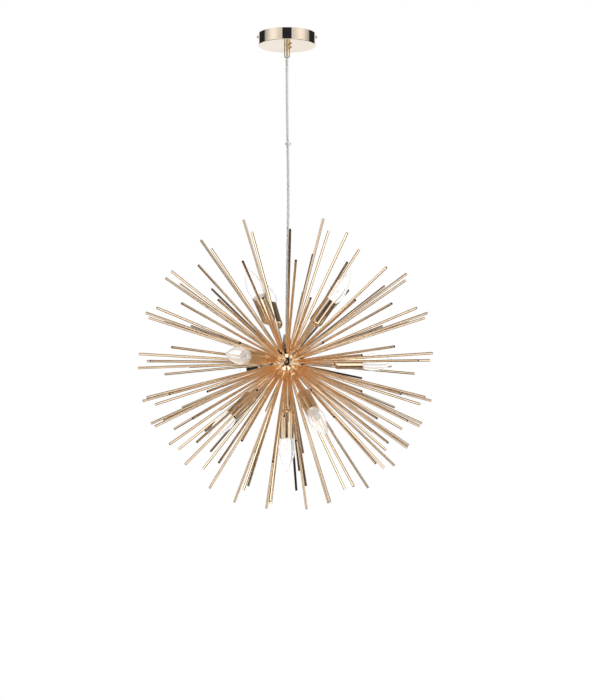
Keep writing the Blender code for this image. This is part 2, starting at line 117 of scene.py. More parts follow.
def rounded(points, n=4, closed=True):
    """(r, z, fillet) corners to (r, z) points, each filleted corner as a small arc."""
    out, m = [], len(points)
    for i, (x, y, fillet) in enumerate(points):
        p = Vector((x, y))
        if fillet <= 0 or (not closed and i in (0, m - 1)):
            out.append((x, y))
            continue
        u, v = Vector(points[i - 1][:2]) - p, Vector(points[(i + 1) % m][:2]) - p
        lu, lv = u.length, v.length
        u, v = u / lu, v / lv
        half = u.angle(v) / 2
        d = min(fillet / math.tan(half), lu * 0.48, lv * 0.48)
        for k in range(n + 1):
            t = k / n
            q = (p + u * d) * (1 - t) ** 2 + p * 2 * t * (1 - t) + (p + v * d) * t * t
            out.append((max(q.x, 0.0), q.y))
    return out


def spline_points(knots, steps):
    """(a, b) points on a Catmull-Rom curve through (a, b) knots."""
    knots = [Vector(k) for k in knots]
    ext = [knots[0] * 2 - knots[1]] + knots + [knots[-1] * 2 - knots[-2]]
    out = []
    for i in range(1, len(ext) - 2):
        p0, p1, p2, p3 = ext[i - 1], ext[i], ext[i + 1], ext[i + 2]
        for s in range(steps):
            t = s / steps
            out.append(0.5 * ((2 * p1) + (p2 - p0) * t + (2 * p0 - 5 * p1 + 4 * p2 - p3) * t * t + (3 * p1 - p0 - 3 * p2 + p3) * t ** 3))
    out.append(knots[-1])
    return out


class Builder:
    """Collects turned and swept surfaces, with UVs in turns and metres, into one mesh."""

    def __init__(self):
        self.verts, self.faces, self.uvs, self.mats = [], [], [], []

    def face(self, corners, uvs, mat):
        self.faces.append(corners)
        self.uvs.extend(uvs)
        self.mats.append(mat)

    def turn(self, loop, segs, matrix=None, mat=0, closed=True, shape=None, seed=0.0):
        """A profile of (r, z) or (r, z, mat) points turned about Z. It runs down the outside and back
        up the inside; r = 0 is a pole. shape(r, z, turn) may change a point's radius."""
        matrix = matrix or Matrix.Identity(4)
        rings, along, run = [], [], 0.0
        for k, point in enumerate(loop):
            r, z = point[0], point[1]
            if k:
                run += math.hypot(r - loop[k - 1][0], z - loop[k - 1][1])
            along.append(run + seed)
            first = len(self.verts)
            if r <= 1e-9:
                self.verts.append(matrix @ Vector((0, 0, z)))
                rings.append((first, 1))
                continue
            for i in range(segs):
                a = 2 * math.pi * i / segs
                rr = shape(r, z, i / segs) if shape else r
                self.verts.append(matrix @ Vector((rr * math.cos(a), rr * math.sin(a), z)))
            rings.append((first, segs))
        pairs = [(k, k + 1) for k in range(len(loop) - 1)]
        if closed:
            pairs.append((len(loop) - 1, 0))
        for k, j in pairs:
            (a, na), (b, nb) = rings[k], rings[j]
            if na == 1 and nb == 1:
                continue
            m = loop[k][2] if len(loop[k]) > 2 else mat
            va, vb = along[k], along[j] if j else along[k] + math.hypot(loop[k][0] - loop[0][0], loop[k][1] - loop[0][1])
            for i in range(segs):
                i2 = (i + 1) % segs
                u0, u1 = i / segs, (i + 1) / segs
                if na == 1:
                    self.face((a, b + i, b + i2), ((u0, va), (u0, vb), (u1, vb)), m)
                elif nb == 1:
                    self.face((a + i, b, a + i2), ((u0, va), (u0, vb), (u1, va)), m)
                else:
                    self.face((a + i, b + i, b + i2, a + i2), ((u0, va), (u0, vb), (u1, vb), (u1, va)), m)

    def sweep(self, path, radius, segs=12, mat=0, shape=None, flat=None):
        """A round tube along path with closed ends. shape(run, turn) scales the radius."""
        path = [Vector(p) for p in path]
        n = len(path)
        normal, run, rings, runs = None, 0.0, [], []
        for i, p in enumerate(path):
            t = (path[min(i + 1, n - 1)] - path[max(i - 1, 0)]).normalized()
            if normal is None:
                normal = Vector((1, 0, 0)) if abs(t.x) < 0.9 else Vector((0, 1, 0))
            normal = (normal - t * normal.dot(t)).normalized()
            b = t.cross(normal)
            if i:
                run += (p - path[i - 1]).length
            first = len(self.verts)
            r = radius(run) if callable(radius) else radius
            for k in range(segs):
                a = 2 * math.pi * k / segs
                s = shape(run, k / segs) if shape else 1.0
                self.verts.append(p + (normal * math.cos(a) + b * math.sin(a)) * (r * s))
            rings.append(first)
            runs.append(run)
        for i in range(n - 1):
            for k in range(segs):
                k2, u0, u1 = (k + 1) % segs, k / segs, (k + 1) / segs
                self.face(
                    (rings[i] + k, rings[i] + k2, rings[i + 1] + k2, rings[i + 1] + k),
                    ((u0, runs[i]), (u1, runs[i]), (u1, runs[i + 1]), (u0, runs[i + 1])), mat)
        for first, order in ((rings[0], -1), (rings[-1], 1)):
            ids = [first + k for k in range(segs)][::order]
            self.face(tuple(ids), tuple((k / segs, runs[-1]) for k in range(segs)), mat)

    def object(self, name, materials, sharp=38.0, weighted=True):
        mesh = bpy.data.meshes.new(name)
        mesh.from_pydata(self.verts, [], self.faces)
        layer = mesh.uv_layers.new(name="UVMap")
        layer.data.foreach_set("uv", [c for uv in self.uvs for c in uv])
        mesh.polygons.foreach_set("material_index", self.mats)
        for m in materials:
            mesh.materials.append(m)
        mesh.shade_smooth()
        mesh.set_sharp_from_angle(angle=math.radians(sharp))
        mesh.update()
        obj = bpy.data.objects.new(name, mesh)
        bpy.context.scene.collection.objects.link(obj)
        if weighted:
            mod = obj.modifiers.new("even_normals", "WEIGHTED_NORMAL")
            mod.keep_sharp = True
        return obj


def carve(obj, cutters, sharp=30.0):
    """Cuts the cutter objects out of obj and keeps the result as plain mesh."""
    for c in cutters:
        mod = obj.modifiers.new("cut", "BOOLEAN")
        mod.operation, mod.solver, mod.object = "DIFFERENCE", "EXACT", c
    bpy.context.view_layer.update()
    graph = bpy.context.evaluated_depsgraph_get()
    keep = [m for m in obj.modifiers if m.type == "WEIGHTED_NORMAL"]
    for m in keep:
        obj.modifiers.remove(m)
    graph.update()
    mesh = bpy.data.meshes.new_from_object(obj.evaluated_get(graph))
    old = obj.data
    name = old.name
    obj.modifiers.clear()
    obj.data = mesh
    bpy.data.meshes.remove(old)
    mesh.name = name
    for c in cutters:
        bpy.data.objects.remove(c, do_unlink=True)
    mesh.shade_smooth()
    mesh.set_sharp_from_angle(angle=math.radians(sharp))
    mod = obj.modifiers.new("even_normals", "WEIGHTED_NORMAL")
    mod.keep_sharp = True
    return obj


def bar_cutter(matrix, size):
    bm = bmesh.new()
    bmesh.ops.create_cube(bm, size=1.0, matrix=matrix @ Matrix.Diagonal((*size, 1.0)))
    mesh = bpy.data.meshes.new("cut_bar")
    bm.to_mesh(mesh)
    bm.free()
    obj = bpy.data.objects.new("cut_bar", mesh)
    bpy.context.scene.collection.objects.link(obj)
    return obj


def pin_cutter(matrix, radius, length, segs=24):
    b = Builder()
    b.turn([(0.0, length / 2), (radius, length / 2), (radius, -length / 2), (0.0, -length / 2)], segs, matrix, closed=False)
    return b.object("cut_pin", [], weighted=False)


# ---------------------------------------------------------------- materials
def new_material(name):
    mat = bpy.data.materials.new(name)
    mat.use_nodes = True
    tree = mat.node_tree
    return mat, tree, tree.nodes["Principled BSDF"]


def noise_of(tree, source, scale, mapping=(1, 1, 1), detail=3.0, rough=0.55):
    """A Noise texture on the named coordinates. source: "UV" or "Object"."""
    coord = tree.nodes.new("ShaderNodeTexCoord")
    mapped = tree.nodes.new("ShaderNodeMapping")
    mapped.inputs["Scale"].default_value = mapping
    tex = tree.nodes.new("ShaderNodeTexNoise")
    tex.inputs["Scale"].default_value = scale
    tex.inputs["Detail"].default_value = detail
    tex.inputs["Roughness"].default_value = rough
    tree.links.new(coord.outputs[source], mapped.inputs["Vector"])
    tree.links.new(mapped.outputs["Vector"], tex.inputs["Vector"])
    return tex.outputs["Fac"]


def spread(tree, fac, low, high, start=0.3, end=0.7):
    node = tree.nodes.new("ShaderNodeMapRange")
    node.inputs["From Min"].default_value = start
    node.inputs["From Max"].default_value = end
    node.inputs["To Min"].default_value = low
    node.inputs["To Max"].default_value = high
    tree.links.new(fac, node.inputs["Value"])
    return node.outputs["Result"]


def tint(tree, fac, a, b, start=0.3, end=0.7):
    ramp = tree.nodes.new("ShaderNodeValToRGB")
    ramp.color_ramp.elements[0].position = start
    ramp.color_ramp.elements[1].position = end
    ramp.color_ramp.elements[0].color = (*a, 1.0)
    ramp.color_ramp.elements[1].color = (*b, 1.0)
    tree.links.new(fac, ramp.inputs["Fac"])
    return ramp.outputs["Color"]


def bump(tree, fac, distance, strength=1.0):
    node = tree.nodes.new("ShaderNodeBump")
    node.inputs["Distance"].default_value = distance
    node.inputs["Strength"].default_value = strength
    tree.links.new(fac, node.inputs["Height"])
    return node.outputs["Normal"]


def plated(name, color, rough=(0.05, 0.11), grain="turned", depth=0.5, drift=0.045):
    """Polished gold plating: slow colour drift, fine tool lines and hazy patches."""
    mat, tree, bsdf = new_material(name)
    darker = tuple(c * (1 - drift * (1 + i * 0.6)) for i, c in enumerate(color))
    lighter = tuple(min(c * (1 + drift * 0.5), 1.0) for c in color)
    slow = noise_of(tree, "Object", 14.0, detail=2.0)
    tree.links.new(tint(tree, slow, darker, lighter), bsdf.inputs["Base Color"])
    haze = noise_of(tree, "Object", 160.0, detail=4.0)
    tree.links.new(spread(tree, haze, rough[0], rough[1]), bsdf.inputs["Roughness"])
    scale = {"turned": (3.0, 9000.0, 1.0), "drawn": (70.0, 30.0, 1.0)}[grain]
    lines = noise_of(tree, "UV", 1.0, mapping=scale, detail=2.0)
    tree.links.new(bump(tree, lines, 0.000004, depth), bsdf.inputs["Normal"])
    bsdf.inputs["Metallic"].default_value = 1.0
    return mat


def steel(name, color=(0.60, 0.60, 0.61), rough=(0.26, 0.42), warm=0.02):
    """Zinc plate: faint spangle in colour and gloss."""
    mat, tree, bsdf = new_material(name)
    spangle = tree.nodes.new("ShaderNodeTexVoronoi")
    spangle.inputs["Scale"].default_value = 420.0
    coord = tree.nodes.new("ShaderNodeTexCoord")
    tree.links.new(coord.outputs["Object"], spangle.inputs["Vector"])
    grey = tint(tree, spangle.outputs["Distance"], tuple(c * 0.88 for c in color), (color[0] + warm, color[1] + warm * 0.6, color[2]), 0.1, 0.7)
    tree.links.new(grey, bsdf.inputs["Base Color"])
    tree.links.new(spread(tree, noise_of(tree, "Object", 300.0), rough[0], rough[1]), bsdf.inputs["Roughness"])
    tree.links.new(bump(tree, noise_of(tree, "Object", 1500.0), 0.00001), bsdf.inputs["Normal"])
    bsdf.inputs["Metallic"].default_value = 1.0
    return mat


def plastic(name, color, rough=(0.32, 0.48), transmission=0.0, ior=1.46):
    mat, tree, bsdf = new_material(name)
    mottled = tint(tree, noise_of(tree, "Object", 90.0), tuple(c * 0.94 for c in color), tuple(min(c * 1.03, 1.0) for c in color))
    tree.links.new(mottled, bsdf.inputs["Base Color"])
    tree.links.new(spread(tree, noise_of(tree, "Object", 700.0), rough[0], rough[1]), bsdf.inputs["Roughness"])
    tree.links.new(bump(tree, noise_of(tree, "Object", 2600.0), 0.000012), bsdf.inputs["Normal"])
    bsdf.inputs["Transmission Weight"].default_value = transmission
    bsdf.inputs["IOR"].default_value = ior
    return mat


def strands_with_painted_shade(name, a, b, metallic, turns_per_m, strands, rough=(0.25, 0.4)):
    """Twisted strands drawn as slanted bands in UV, on top of the fluted shape: the dark bands are painted shade in
    the grooves between strands, the light bands painted highlight on their crests.
    """
    mat, tree, bsdf = new_material(name)
    coord = tree.nodes.new("ShaderNodeTexCoord")
    split = tree.nodes.new("ShaderNodeSeparateXYZ")
    tree.links.new(coord.outputs["UV"], split.inputs["Vector"])
    slope = tree.nodes.new("ShaderNodeMath")
    slope.operation = "MULTIPLY_ADD"
    slope.inputs[1].default_value = -turns_per_m
    tree.links.new(split.outputs["Y"], slope.inputs[0])
    tree.links.new(split.outputs["X"], slope.inputs[2])
    wave = tree.nodes.new("ShaderNodeMath")
    wave.operation = "MULTIPLY"
    wave.inputs[1].default_value = 2 * math.pi * strands
    tree.links.new(slope.outputs["Value"], wave.inputs[0])
    cosine = tree.nodes.new("ShaderNodeMath")
    cosine.operation = "COSINE"
    tree.links.new(wave.outputs["Value"], cosine.inputs[0])
    # painted shade and highlight: colour a in the grooves between strands, colour b on their crests
    tree.links.new(tint(tree, cosine.outputs["Value"], a, b, 0.0, 0.8), bsdf.inputs["Base Color"])
    tree.links.new(spread(tree, noise_of(tree, "Object", 500.0), rough[0], rough[1]), bsdf.inputs["Roughness"])
    bsdf.inputs["Metallic"].default_value = metallic
    return mat


def clear_glass(name, transmission=1.0, glow=0.0):
    """Blown glass; glow is the faint light of the burning lamp that the glass scatters."""
    mat, tree, bsdf = new_material(name)
    bsdf.inputs["Emission Color"].default_value = (1.0, 0.985, 0.94, 1.0)
    bsdf.inputs["Emission Strength"].default_value = glow
    painted_edge_shade = tree.nodes.new("ShaderNodeLayerWeight")      # painted shade: the glass is tinted grey towards its outline for its dark edges, on top of the little more glass crossed there
    painted_edge_shade.inputs["Blend"].default_value = 0.5
    tree.links.new(tint(tree, painted_edge_shade.outputs["Facing"], (0.99, 0.99, 0.985), (0.42, 0.42, 0.405), 0.67, 0.99), bsdf.inputs["Base Color"])
    bsdf.inputs["Transmission Weight"].default_value = transmission
    bsdf.inputs["IOR"].default_value = 1.46
    tree.links.new(spread(tree, noise_of(tree, "Object", 40.0), 0.0, 0.012), bsdf.inputs["Roughness"])
    tree.links.new(bump(tree, noise_of(tree, "Object", 60.0, detail=1.0), 0.00002), bsdf.inputs["Normal"])
    return mat


GOLD = (0.95, 0.80, 0.61)
CANOPY_GOLD = (0.825, 0.735, 0.61)
ROD_GOLD = (0.990, 0.780, 0.560)
M = {
    "canopy": plated("canopy_gold", CANOPY_GOLD, (0.015, 0.04), depth=0.15),
    "canopy_face": plated("canopy_face_gold", CANOPY_GOLD, (0.13, 0.19), depth=0.25),
    "grip": plated("grip_gold", GOLD, (0.02, 0.05), depth=0.15),
    "hub": plated("hub_gold", (0.84, 0.66, 0.46), (0.015, 0.04), depth=0.15),
    "rod": plated("rod_gold", ROD_GOLD, (0.015, 0.045), "drawn", 0.12),
    "arm": plated("arm_gold", ROD_GOLD, (0.015, 0.045), "drawn", 0.12),
    "cup": plated("cup_gold", GOLD, (0.015, 0.04), depth=0.15),
    "cup_inside": plated("cup_inside_gold", (0.90, 0.70, 0.50), (0.30, 0.42)),
    "screw": plated("screw_gold", (0.86, 0.60, 0.38), (0.10, 0.2)),
    "steel": steel("zinc_steel"),
    "wire": strands_with_painted_shade("steel_wire", (0.80, 0.80, 0.79), (0.95, 0.95, 0.95), 0.25, 125.0, 6, (0.3, 0.45)),
    "core_a": strands_with_painted_shade("core_silver", (0.80, 0.82, 0.78), (0.95, 0.955, 0.93), 0.1, 160.0, 7),
    "core_b": strands_with_painted_shade("core_copper", (0.77, 0.75, 0.70), (0.93, 0.91, 0.87), 0.1, 160.0, 7),
    "sheath": plastic("clear_flex", (0.975, 0.985, 0.97), (0.06, 0.16), 0.95, 1.26),
    "clear": plastic("clear_plastic", (0.93, 0.94, 0.92), (0.10, 0.2), 0.85, 1.38),
    "white": plastic("white_plastic", (0.84, 0.83, 0.79)),
    "insulation": plastic("core_insulation", (0.70, 0.68, 0.63), (0.25, 0.36)),
    "holder": plastic("lampholder_plastic", (0.86, 0.66, 0.46), (0.3, 0.45)),
    "dark": plastic("black_insulator", (0.03, 0.028, 0.026), (0.25, 0.4)),
    # the bore's near-black is painted shade down the tube, over the dull oxide of its unplated inside
    "bore": plastic("bore_oxide_painted_shade", (0.006, 0.0045, 0.0035), (0.7, 0.85)),
    "glass": clear_glass("clear_glass", 0.90, 0.075),
    "stem": clear_glass("stem_glass"),
    "nickel": steel("nickel_cap", (0.86, 0.80, 0.70), (0.30, 0.42)),
    "filament": steel("tungsten", (0.42, 0.38, 0.34), (0.35, 0.5)),
}


# ---------------------------------------------------------------- cords, first
def cord_route(offset, bow, count):
    knots = []
    for i in range(13):
        t = i / 12
        knots.append((offset + bow * math.sin(math.pi * t) ** 2 * (1 - 0.35 * math.cos(2 * math.pi * t)), 0.0, CORD_TOP - SPAN * t))
    fine = spline_points(knots, 24)
    run = [0.0]
    for a, b in zip(fine, fine[1:]):
        run.append(run[-1] + (b - a).length)
    out, j = [], 0
    for i in range(count):
        want = run[-1] * i / (count - 1)
        while j < len(run) - 2 and run[j + 1] < want:
            j += 1
        t = (want - run[j]) / max(run[j + 1] - run[j], 1e-12)
        out.append(fine[j].lerp(fine[j + 1], min(max(t, 0.0), 1.0)))
    return out, run[-1]


def route_at(path, t):
    x = t * (len(path) - 1)
    i = min(int(x), len(path) - 2)
    return path[i].lerp(path[i + 1], x - i)


flex_path, flex_len = cord_route(-0.0008, 0.0022, 120)
b = Builder()
b.sweep(flex_path, CORD_R, 20)
flex = b.object("supply_flex_sheath", [M["sheath"]], weighted=False)
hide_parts("supply_flex")
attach(flex, "suspension")

for tag, turn, key in (("a", 0.0, "core_a"), ("b", 0.5, "core_b")):
    pts = []
    for i in range(700):
        t = i / 699
        c = route_at(flex_path, 0.002 + 0.996 * t)
        a = 2 * math.pi * (turn + t * flex_len / 0.032)
        pts.append(c + Vector((math.cos(a), math.sin(a), 0.0)) * 0.00092)
    b = Builder()
    b.sweep(pts, 0.00084, 8)
    core = b.object("flex_core_" + tag, [M[key]], weighted=False)
    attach(core, "suspension")

wire_path, wire_len = cord_route(WIRE_OFF - 0.0010, 0.0022, 900)
b = Builder()
b.sweep(wire_path, WIRE_R, 24, shape=lambda run, u: 0.94 + 0.06 * math.cos(6 * 2 * math.pi * (u - run * 125.0)))
wire = b.object("support_wire_strands", [M["wire"]], weighted=False)
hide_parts("support_wire")
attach(wire, "suspension")

tie_t = (CORD_TOP - TIE_Z) / SPAN
tie_x = -0.0008 + 0.0022 * math.sin(math.pi * tie_t) ** 2 * (1 - 0.35 * math.cos(2 * math.pi * tie_t))
b = Builder()
b.turn(rounded([(0.0061, 0.0022, 0.0012), (0.0061, -0.0022, 0.0012), (0.0046, -0.0022, 0.0004), (0.0046, 0.0022, 0.0004)]), 40, at(tie_x + 0.0012, 0, TIE_Z))
tie = b.object("clear_cord_tie", [M["clear"]])
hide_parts("cord_tie")
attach(tie, "suspension")

# ---------------------------------------------------------------- rods
LAMPS = []
for row, lat, first, count in LAMP_ROWS:
    for i in range(count):
        LAMPS.append(("%s_%d" % (row, i + 1) if count > 1 else row, direction(lat, first + 360.0 * i / count)))


def rod_directions(rings):
    out = []
    for lat, places, first, zigzag in rings:
        for i in range(places):
            d = direction(lat + (zigzag if i % 2 else -zigzag), first + 360.0 * i / places)
            if all(math.degrees(d.angle(lamp)) >= LAMP_CLEAR_DEG for _, lamp in LAMPS):
                out.append(d)
    return out


def rod_profile():
    """An open ended tube with a small collar where it is screwed into the ball."""
    tip, r, bore = ROD_TIP_R, ROD_R, ROD_BORE_R
    outer = [(bore + 0.00008, tip, 0), (r - 0.00014, tip, 0), (r - 0.00004, tip - 0.00008, 0), (r, tip - 0.00024, 0)]
    outer += [(r, HUB_R + 0.0024, 0), (r + 0.0005, HUB_R + 0.0021, 0), (r + 0.0007, HUB_R + 0.0017, 0), (r + 0.0007, HUB_R - 0.0004, 0), (0.0, HUB_R - 0.0004, 0)]
    # the inner wall takes the near-black bore material: painted shade down the tube
    inner = [(0.0, tip - 0.030, 1), (bore, tip - 0.030, 1), (bore, tip - 0.0012, 1), (bore, tip - 0.00025, 0)]
    return outer + inner


profile = rod_profile()
for ring, rows in RINGS.items():
    b = Builder()
    for n, d in enumerate(rod_directions(rows)):
        b.turn(profile, 20, radial_frame(d), seed=n * 0.37)
    rods = b.object(ring.replace("rod_ring", "tube_rods"), [M["rod"], M["bore"]], sharp=50.0)
    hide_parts(ring)
    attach(rods, "starburst")

# ---------------------------------------------------------------- hub ball, gland
ball = []
for i in range(0, 97):
    lat = 79.0 - 169.0 * i / 96
    la = math.radians(lat)
    ball.append((max(HUB_R * math.cos(la), 0.0) if i < 96 else 0.0, HUB_R * math.sin(la)))
seam = []
for r, z in ball:
    depth = 0.00035 * math.exp(-((z + 0.0) / 0.00040) ** 2)
    seam.append((max(r - depth, 0.0), z))
inner_shell = [(0.0, -HUB_R + 0.0012), (0.020, -0.0295), (0.0350, 0.0), (0.0200, 0.0290), (HUB_R * math.cos(math.radians(79.0)), HUB_R * math.sin(math.radians(79.0)) - 0.0012)]
b = Builder()
b.turn(seam + inner_shell, 96, Matrix.Translation(HUB))
hub_ball = b.object("hub_ball", [M["hub"]], sharp=45.0, weighted=False)
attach(hub_ball, "starburst")

top, seat = HUB_R + GLAND_H, HUB_R + 0.0003
b = Builder()
b.turn(rounded([
    (0.0056, top, 0.0005), (0.0070, top, 0.0010), (0.0070, top - 0.0045, 0.0), (0.0066, top - 0.0048, 0.0), (0.0066, top - 0.0056, 0.0), (0.0080, top - 0.0060, 0.0004),
    (0.0080, seat + 0.0052, 0.0004), (0.0074, seat + 0.0048, 0.0), (0.0074, seat + 0.0040, 0.0), (GLAND_R, seat + 0.0036, 0.0005), (GLAND_R, seat, 0.0004),
    (0.0062, seat, 0.0), (0.0062, HUB_R - 0.013, 0.0), (0.0036, HUB_R - 0.013, 0.0), (0.0036, seat + 0.004, 0.0), (0.0049, seat + 0.004, 0.0), (0.0049, top - 0.0008, 0.0),
]), 64, Matrix.Translation(HUB),
    shape=lambda r, z, u: r - 0.00022 * (0.5 + 0.5 * math.cos(2 * math.pi * 32 * u)) if (0.00785 < r < 0.00805 and seat + 0.0060 < z < top - 0.0066) else r)
gland = b.object("cord_gland", [M["hub"]], sharp=32.0)
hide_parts("hub_gland")
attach(gland, "starburst")

# ---------------------------------------------------------------- lamps
MOUTH = CUP_START + CUP_LEN
HOLDER = MOUTH - HOLDER_DEPTH
FLOOR = HOLDER - CAP_LEN - 0.002


def lamp_arm(tag, d):
    start = HUB_R - 0.0005
    loop = [(0.0, CUP_START - 0.0002)] + rounded([
        (0.0068, CUP_START - 0.0002, 0.0), (0.0068, CUP_START - 0.0030, 0.0006), (0.0052, CUP_START - 0.0036, 0.0004), (ARM_R, CUP_START - 0.0046, 0.0006),
        (ARM_R, HUB_R + 0.0046, 0.0006), (0.0062, HUB_R + 0.0036, 0.0006), (0.0062, start, 0.0),
    ], closed=False) + [(0.0, start)]
    b = Builder()
    b.turn(loop, 32, radial_frame(d), closed=False)
    obj = b.object("arm_tube_" + tag, [M["arm"]], sharp=40.0)
    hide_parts("lamp_arm_" + tag)
    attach(obj, "starburst")


def socket_cup(tag, d):
    r, wall = CUP_R, CUP_WALL
    base = spline_points([(r, CUP_START + 0.0105), (r * 0.985, CUP_START + 0.0066), (r * 0.90, CUP_START + 0.0034), (r * 0.70, CUP_START + 0.0012), (r * 0.42, CUP_START + 0.0002), (r * 0.2, CUP_START)], 4)
    outer = [(r - 0.0007, MOUTH), (r - 0.00025, MOUTH - 0.00012), (r, MOUTH - 0.0005), (r, MOUTH - 0.0016), (r - 0.00012, MOUTH - 0.0019), (r - 0.00012, CUP_START + 0.0125), (r, CUP_START + 0.0121)]
    outer += [(p.x, p.y) for p in base] + [(0.0, CUP_START)]
    outer = [(a, c, 0) for a, c in outer]
    # inside: a gold wall, then the lampholder with its threaded shell and the contact at the bottom
    inner = [(0.0, FLOOR + 0.0006, 2), (0.0030, FLOOR + 0.0006, 2), (0.0034, FLOOR, 3), (HOLDER_BORE_R - 0.0002, FLOOR, 4)]
    steps = 22
    for i in range(steps + 1):
        z = FLOOR + 0.0008 + (HOLDER - 0.0030 - FLOOR) * i / steps
        inner.append((HOLDER_BORE_R - 0.0001 + 0.00022 * math.cos(math.pi * i), z, 4))
    inner += [(HOLDER_BORE_R + 0.0001, HOLDER - 0.0012, 3), (HOLDER_BORE_R + 0.0006, HOLDER, 3), (r - wall - 0.0016, HOLDER, 3), (r - wall - 0.0013, HOLDER - 0.0014, 1),
              (r - wall, HOLDER - 0.0014, 1), (r - wall, MOUTH - 0.0005, 0), (r - wall + 0.00018, MOUTH - 0.00012, 0)]
    b = Builder()
    b.turn(outer + inner, 48, radial_frame(d))
    obj = b.object("cup_" + tag, [M["cup"], M["cup_inside"], M["nickel"], M["holder"], M["screw"]], sharp=35.0)
    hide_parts("socket_cup_" + tag)
    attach(obj, "starburst")


BULB_SHAPE = [(1.0, 0.0), (0.985, 0.060), (0.95, 0.155), (0.80, 0.48), (0.62, 0.80), (0.44, 0.98), (0.34, 1.0), (0.20, 0.87), (0.10, 0.62), (0.03, 0.44), (-0.02, 0.395)]


def bulb_outline():
    length = BULB_TIP_R - HOLDER
    knots = [(BULB_R * w, HOLDER + length * t) for t, w in BULB_SHAPE]
    pts = spline_points(knots, 5)
    return [(max(p.x, 0.0), p.y) for p in pts]


def candle_bulb(tag, d):
    frame_d = radial_frame(d)
    outer = bulb_outline()
    wall = 0.00065
    inner = []
    for i, (r, z) in enumerate(outer):
        if i == 0:
            inner.append((0.0, z - wall * 1.5))
            continue
        a, c = outer[i - 1], outer[min(i + 1, len(outer) - 1)]
        dr, dz = c[0] - a[0], c[1] - a[1]
        n = math.hypot(dr, dz)
        inner.append((max(r + dz / n * wall, 0.0002), z - dr / n * wall))
    inner = [p for i, p in enumerate(inner) if i == 0 or p[1] < inner[0][1] - 0.0001]
    b = Builder()
    b.turn(outer + inner[::-1], 48, frame_d, closed=False)
    glass = b.object("bulb_glass_" + tag, [M["glass"]], sharp=60.0, weighted=False)
    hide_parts("candle_bulb_" + tag)
    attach(glass, "bulb_" + tag)

    # screw cap: collar, rolled thread, insulator and contact
    base = HOLDER - CAP_LEN
    b = Builder()
    loop = [(0.0, HOLDER - 0.0002, 0), (0.0064, HOLDER - 0.0002, 0), (CAP_R, HOLDER - 0.0005, 0), (CAP_R, HOLDER - 0.0022, 0), (CAP_R - 0.0003, HOLDER - 0.0026, 0)]
    steps = 44
    for i in range(steps + 1):
        loop.append((CAP_R - 0.00035, HOLDER - 0.0030 - 0.0112 * i / steps, 0))
    loop += [(CAP_R - 0.0008, base + 0.0038, 1), (CAP_R * 0.62, base + 0.0016, 1), (CAP_R * 0.36, base + 0.0010, 0), (CAP_R * 0.34, base + 0.0003, 0), (0.0012, base, 0), (0.0, base, 0)]
    top_z, low_z = HOLDER - 0.0030, HOLDER - 0.0142

    def thread(r, z, u):
        if not low_z - 1e-6 <= z <= top_z + 1e-6:
            return r
        fade = min((top_z - z) / 0.0012, (z - low_z) / 0.0012, 1.0)
        return r + 0.00033 * max(fade, 0.0) * math.cos(2 * math.pi * (z / 0.00282 - u))

    b.turn(loop, 40, frame_d, closed=False, shape=thread)
    cap = b.object("bulb_cap_" + tag, [M["nickel"], M["dark"]], sharp=50.0, weighted=False)
    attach(cap, "bulb_" + tag)

    # glass stem, lead wires and the looped filament
    length = BULB_TIP_R - HOLDER
    b = Builder()
    stem = spline_points([(0.0050, HOLDER + 0.0004), (0.0030, HOLDER + 0.0035), (0.0020, HOLDER + 0.0085), (0.0018, HOLDER + 0.0150)], 5)
    b.turn([(0.0, HOLDER + 0.0165)] + [(p.x, p.y) for p in stem[::-1]] + [(0.0, HOLDER + 0.0004)], 20, frame_d, mat=0, closed=False)
    for side in (-1, 1):
        pts = [frame_d @ Vector((side * x, 0.0, HOLDER + z)) for x, z in ((0.0008, 0.0140), (0.0016, 0.0180), (0.0040, 0.0235), (0.0054, 0.0290))]
        b.sweep(pts, 0.00018, 6, mat=1)
    b.sweep([frame_d @ Vector((0.0, 0.0, HOLDER + 0.0150)), frame_d @ Vector((0.0, 0.0, HOLDER + 0.0330))], 0.00014, 6, mat=1)
    arch = []
    for i in range(161):
        t = i / 160
        x = -0.0054 + 0.0108 * t
        z = HOLDER + 0.0290 + 0.0040 * math.sin(math.pi * t)
        a = 2 * math.pi * 40 * t
        arch.append(frame_d @ Vector((x, 0.00034 * math.cos(a), z + 0.00034 * math.sin(a))))
    b.sweep(arch, 0.00009, 4, mat=2)
    wires = b.object("bulb_filament_" + tag, [M["stem"], M["nickel"], M["filament"]], sharp=60.0, weighted=False)
    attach(wires, "bulb_" + tag)


for tag, d in LAMPS:
    lamp_arm(tag, d)
    socket_cup(tag, d)
    candle_bulb(tag, d)

# ---------------------------------------------------------------- canopy and its screws
r, h, w = CANOPY_R, CANOPY_H, CANOPY_WALL
b = Builder()
b.turn(rounded([
    (r, -0.0003, 0.0003), (r, -h, 0.0013), (NIPPLE_R + GAP, -h, 0.0002), (NIPPLE_R + GAP, -h + w, 0.0), (r - w, -h + w, 0.0014), (r - w, -0.0003, 0.0003),
], 6), 160, at(0, 0, 0))
canopy = b.object("canopy_shell", [M["canopy"], M["canopy_face"]], sharp=35.0)
for face in canopy.data.polygons:
    if face.normal.z < -0.99 and face.center.z < -h + 0.0001:      # the flat underside is satin
        face.material_index = 1
for side in (-1, 1):
    pin = pin_cutter(at(side * r, 0, SIDE_SCREW_Z) @ Matrix.Rotation(math.pi / 2, 4, "Y"), 0.0018, 0.008)
    carve(canopy, [pin])
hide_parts("canopy_cup")
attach(canopy, "canopy")


